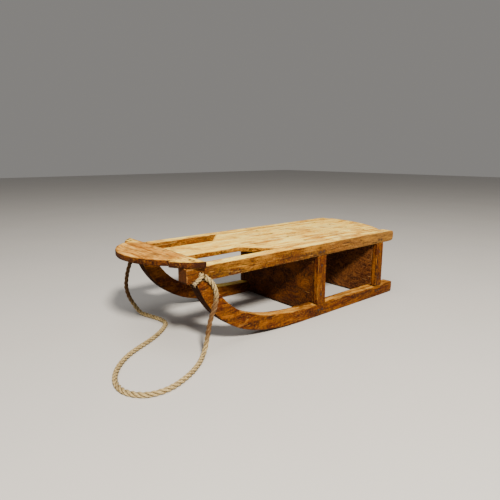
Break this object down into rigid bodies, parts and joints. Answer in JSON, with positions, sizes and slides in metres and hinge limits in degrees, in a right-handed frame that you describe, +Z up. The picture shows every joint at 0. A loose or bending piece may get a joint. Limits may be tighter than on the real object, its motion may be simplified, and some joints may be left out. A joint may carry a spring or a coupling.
{
  "type": "wooden toboggan",
  "caption": "Low wooden sled: two runners curved up at the nose, side rails on posts and cross boards, a slotted seat board, a scalloped nose board and a tow rope.",
  "frame": {"origin": "centre of the sled's footprint on the ground, rope left out", "axes": "+X forward, towards the nose; +Y to the rider's left; +Z up, with the ground at z = 0"},
  "size_m": [1.0249, 0.4458, 0.2228],
  "materials": {
    "runner_wood": "worn, weathered oil finish",
    "rail_wood": "worn, weathered oil finish",
    "post_wood": "worn, weathered oil finish",
    "bulkhead_wood": "worn dark stain",
    "seat_wood": "pale, bare and sun-bleached",
    "nose_wood": "pale, bare and sun-bleached",
    "iron": "rusted dull",
    "rope": "coarse twisted fibre"
  },
  "bodies": {
    "root": {"runner_left": "runner_wood", "runner_right": "runner_wood", "rail_left": "rail_wood", "rail_right": "rail_wood", "post_front_left": "post_wood", "post_front_right": "post_wood", "post_rear_left": "post_wood", "post_rear_right": "post_wood", "bulkhead_front": "bulkhead_wood", "bulkhead_rear": "bulkhead_wood", "seat_board": "seat_wood", "nose_board": "nose_wood", "rope": "rope", "rope_tie_left": "rope", "rope_tie_right": "rope", "seat_nails": "iron", "nose_nails": "iron", "rail_nails": "iron", "post_nails": "iron", "runner_nails": "iron", "tip_nails": "iron"}
  },
  "joints": []
}
